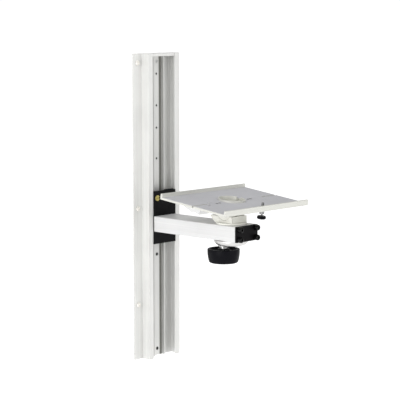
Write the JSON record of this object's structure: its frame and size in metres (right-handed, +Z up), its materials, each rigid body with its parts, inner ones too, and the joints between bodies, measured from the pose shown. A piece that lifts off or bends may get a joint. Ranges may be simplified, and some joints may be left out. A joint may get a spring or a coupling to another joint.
{
  "type": "wall mounted equipment arm with tilting platform",
  "caption": "Upright wall channel with a clamped sliding carriage, a short rectangular arm, and a swivelling, tilting lipped platform locked by a round knob underneath.",
  "frame": {"origin": "on the wall plane, on the channel's centre line, midway up the channel", "axes": "+Z up along the channel, +Y into the wall, -Y out along the arm, +X to the right when facing the wall"},
  "size_m": [0.247, 0.3019, 0.635],
  "materials": {
    "pin_steel": "turned, dark",
    "anodised": "clear anodised extrusion, fine lengthwise die lines",
    "arm_anodised": "clear anodised, satin",
    "bright_screw": "bright plated",
    "dark_screw": "black oxide, satin",
    "cap_screw": "black, satin",
    "black_block": "black, fine machined grain",
    "black_plastic": "black moulded, satin",
    "knob_plastic": "black moulded, smooth satin",
    "strip": "dark grey, matt",
    "glide": "natural nylon",
    "brass": "turned",
    "cast": "warm white painted casting",
    "dish_metal": "turned, bright satin",
    "plain_steel": "satin",
    "platform": "cool grey satin powder coat"
  },
  "bodies": {
    "rail": {"wall_channel": "anodised", "channel_top_stop": "anodised", "flange_screw_left_upper": "bright_screw", "flange_screw_left_middle": "bright_screw", "flange_screw_left_lower": "bright_screw", "flange_screw_right_upper": "bright_screw", "flange_screw_right_middle": "bright_screw", "flange_screw_right_lower": "bright_screw", "web_strip_left": "strip", "web_strip_right": "strip", "web_screw_upper": "plain_steel", "web_screw_middle": "dark_screw", "web_screw_lower": "dark_screw", "web_plug_1": "dark_screw", "web_plug_2": "dark_screw", "web_plug_3": "dark_screw", "web_plug_4": "dark_screw"},
    "carriage": {"carriage_block": "black_block", "step_key": "black_block", "glide_strip_left": "glide", "glide_strip_right": "glide", "clamp_shoe_left": "brass", "clamp_shoe_right": "brass", "arm_bolt_left": "dark_screw", "arm_bolt_right": "dark_screw", "arm_root_plug": "arm_anodised", "arm_tube": "arm_anodised", "end_cap": "black_plastic", "cap_screw_upper_left": "cap_screw", "cap_screw_lower_left": "cap_screw", "cap_screw_upper_right": "cap_screw", "cap_screw_lower_right": "cap_screw"},
    "clamp_left": {"clamp_screw_left": "brass"},
    "clamp_right": {"clamp_screw_right": "brass"},
    "head": {"swivel_head": "cast", "swivel_dish": "dish_metal", "clamp_bolt": "plain_steel", "thrust_washer": "plain_steel", "spring_washer": "plain_steel", "pivot_bolt": "dark_screw", "pivot_nut": "plain_steel"},
    "knob": {"clamp_knob": "knob_plastic", "knob_insert": "plain_steel"},
    "platform": {"platform_plate": "platform", "tilt_casting": "cast", "plate_screw_left_outer": "dark_screw", "plate_screw_left_inner": "dark_screw", "plate_screw_right_inner": "dark_screw", "plate_screw_right_outer": "dark_screw", "stop_pin": "plain_steel", "edge_bracket_left": "arm_anodised", "edge_bracket_right": "arm_anodised", "lock_pin_body": "pin_steel", "lock_pin_spring": "plain_steel"},
    "lock_pin": {"lock_pin": "pin_steel", "lock_pin_knob": "knob_plastic"}
  },
  "joints": [
    {"name": "carriage_slide", "type": "slide", "parent": "rail", "child": "carriage", "axis": [0, 0, 1], "range_m": [-0.235, 0.265]},
    {"name": "clamp_left_turn", "type": "hinge", "parent": "carriage", "child": "clamp_left", "pos_m": [-0.0215, -0.026, 0.02], "axis": [0, 1, 0], "continuous": true},
    {"name": "clamp_right_turn", "type": "hinge", "parent": "carriage", "child": "clamp_right", "pos_m": [0.0215, -0.026, 0.02], "axis": [0, 1, 0], "continuous": true},
    {"name": "head_swivel", "type": "hinge", "parent": "carriage", "child": "head", "pos_m": [0, -0.2115, -0.0135], "axis": [0, 0, 1], "range_deg": [-90, 90]},
    {"name": "platform_tilt", "type": "hinge", "parent": "head", "child": "platform", "pos_m": [0, -0.2115, 0.009], "axis": [1, 0, 0], "range_deg": [-21.5, 8.5]},
    {"name": "knob_turn", "type": "hinge", "parent": "head", "child": "knob", "pos_m": [0, -0.1912, -0.08], "axis": [0, 0, 1], "continuous": true},
    {"name": "lock_pin_slide", "type": "slide", "parent": "platform", "child": "lock_pin", "axis": [0, -0.1132, 0.9936], "range_m": [-0.006, 0], "stiffness_N_per_m": 400, "springref_m": 0.005, "deforming": ["lock_pin_spring"]}
  ]
}
